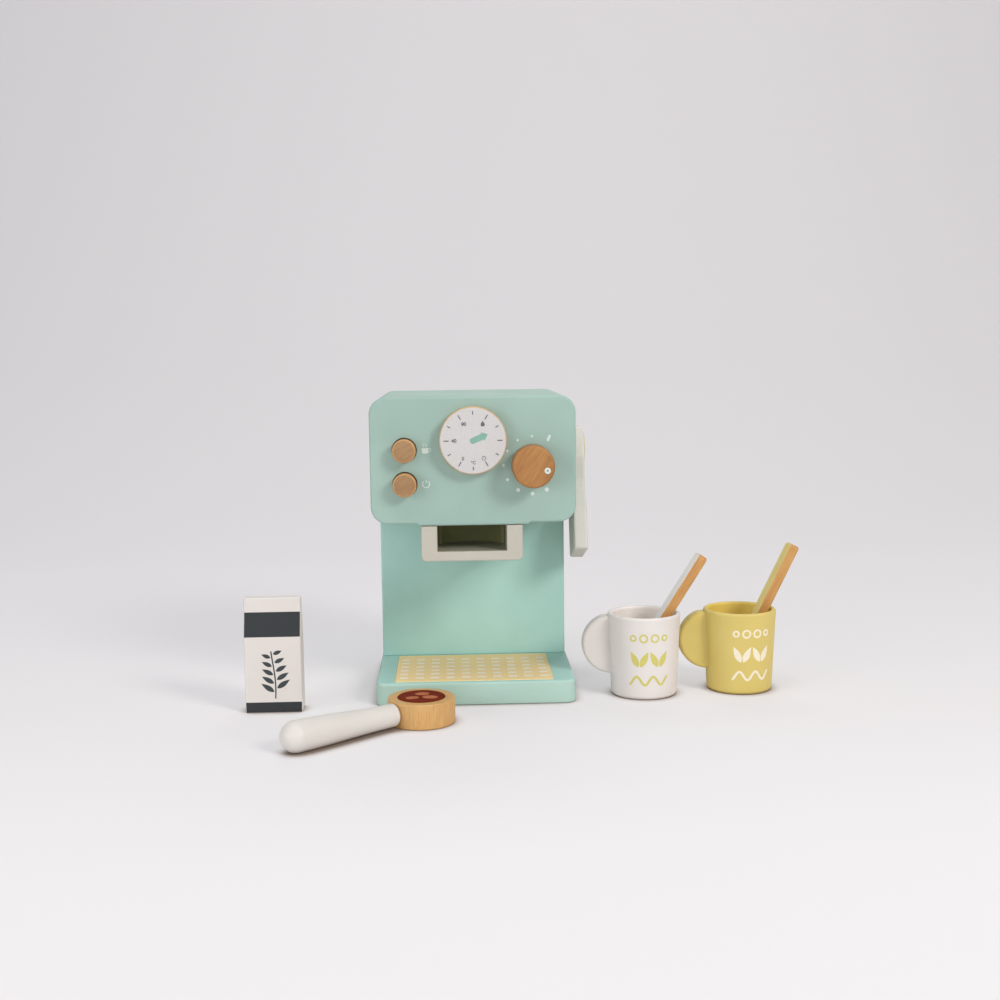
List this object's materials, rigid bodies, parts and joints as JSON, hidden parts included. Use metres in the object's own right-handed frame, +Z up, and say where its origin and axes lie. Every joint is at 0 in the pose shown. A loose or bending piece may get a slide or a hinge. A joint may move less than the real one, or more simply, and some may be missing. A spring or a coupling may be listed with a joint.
{
  "type": "wooden toy coffee maker",
  "caption": "Wooden toy espresso machine with turning knob, sprung push buttons, side lever and loose play pieces: filter with handle, cups, spoons and a milk carton block.",
  "frame": {"origin": "centre of the underside of the machine's base board, on the surface it stands on", "axes": "+Z up, -Y towards the front with the knob and dial, +X to the right as seen from the front, towards the lever and the cups"},
  "size_m": [0.3924, 0.2545, 0.2153],
  "materials": {
    "mint_paint": "satin mint paint on board, soft sheen, rounded edges",
    "white_paint": "satin warm white paint on wood",
    "milk_print": "satin white paint with grey printed bands",
    "yellow_paint": "satin pale yellow paint on wood",
    "dial_print": "matte white printed disc",
    "tray_print": "matte cream printed sheet with white dashes",
    "coffee_print": "matte dark brown paint with printed tan beans",
    "brown_paint": "matte dark brown paint on wood",
    "beech": "clear-lacquered beech with fine grain",
    "plain_wood": "bare sanded light wood",
    "zinc_steel": "zinc-plated, semi-bright",
    "spring_steel": "drawn spring wire, semi-bright",
    "black_steel": "blackened, satin"
  },
  "bodies": {
    "machine": {"base_board": "mint_paint", "column_front_board": "mint_paint", "column_left_board": "mint_paint", "column_right_board": "mint_paint", "column_back_board": "mint_paint", "head_front_board": "mint_paint", "head_top_board": "mint_paint", "head_floor_board": "mint_paint", "head_left_board": "mint_paint", "head_right_board": "mint_paint", "head_back_board": "mint_paint", "brew_bracket": "white_paint", "dial_face": "dial_print", "tray_sheet": "tray_print", "filter_stop": "brown_paint", "dial_disc": "beech", "dial_dowel": "plain_wood", "panel_dowel_left": "plain_wood", "panel_dowel_right": "plain_wood", "button_rail": "plain_wood", "base_screw_left": "zinc_steel", "base_screw_right": "zinc_steel", "bracket_screw_left": "zinc_steel", "bracket_screw_right": "zinc_steel", "head_back_side_screw_left": "zinc_steel", "head_back_side_screw_right": "zinc_steel", "head_back_top_screw_left": "zinc_steel", "head_back_top_screw_right": "zinc_steel", "head_screw_left": "zinc_steel", "head_screw_right": "zinc_steel", "cup_button_spring": "spring_steel", "power_button_spring": "spring_steel"},
    "knob": {"knob_cap": "beech", "knob_marker": "white_paint", "knob_axle": "plain_wood", "knob_collar": "plain_wood"},
    "cup_button": {"cup_button_cap": "beech", "cup_button_retainer": "plain_wood"},
    "power_button": {"power_button_cap": "beech", "power_button_retainer": "plain_wood"},
    "lever": {"lever_arm": "white_paint", "lever_cap": "yellow_paint", "lever_screw": "black_steel", "lever_axle": "plain_wood", "lever_spacer": "plain_wood", "lever_collar": "plain_wood"},
    "filter": {"filter_cup": "beech", "coffee_layer": "coffee_print", "filter_handle": "white_paint", "handle_dowel": "plain_wood"},
    "white_mug": {"white_cup": "white_paint", "white_cup_grip": "white_paint"},
    "white_stirrer": {"white_spoon": "beech"},
    "yellow_mug": {"yellow_cup": "yellow_paint", "yellow_cup_grip": "yellow_paint"},
    "yellow_stirrer": {"yellow_spoon": "beech"},
    "milk": {"milk_block": "milk_print"}
  },
  "joints": [
    {"name": "knob_turn", "type": "hinge", "parent": "machine", "child": "knob", "pos_m": [0.0404, -0.082, 0.16775], "axis": [0, 1, 0], "continuous": true},
    {"name": "cup_button_press", "type": "slide", "parent": "machine", "child": "cup_button", "axis": [0, 1, 0], "range_m": [0, 0.004], "stiffness_N_per_m": 350, "springref_m": -0.003, "deforming": ["cup_button_spring"]},
    {"name": "power_button_press", "type": "slide", "parent": "machine", "child": "power_button", "axis": [0, 1, 0], "range_m": [0, 0.004], "stiffness_N_per_m": 350, "springref_m": -0.003, "deforming": ["power_button_spring"]},
    {"name": "lever_swing", "type": "hinge", "parent": "machine", "child": "lever", "pos_m": [0.0705, 0.018, 0.1705], "axis": [1, 0, 0], "continuous": true},
    {"name": "filter_lift", "type": "slide", "parent": "machine", "child": "filter", "axis": [0, 0, 1], "range_m": [0, 0.06]},
    {"name": "white_cup_lift", "type": "slide", "parent": "machine", "child": "white_mug", "axis": [0, 0, 1], "range_m": [0, 0.1]},
    {"name": "white_spoon_lift", "type": "slide", "parent": "white_mug", "child": "white_stirrer", "axis": [0, 0, 1], "range_m": [0, 0.07]},
    {"name": "yellow_cup_lift", "type": "slide", "parent": "machine", "child": "yellow_mug", "axis": [0.6, 0, 0.8], "range_m": [0, 0.1]},
    {"name": "yellow_spoon_lift", "type": "slide", "parent": "yellow_mug", "child": "yellow_stirrer", "axis": [0, 0, 1], "range_m": [0, 0.07]},
    {"name": "milk_lift", "type": "slide", "parent": "machine", "child": "milk", "axis": [0, 0, 1], "range_m": [0, 0.1]}
  ]
}
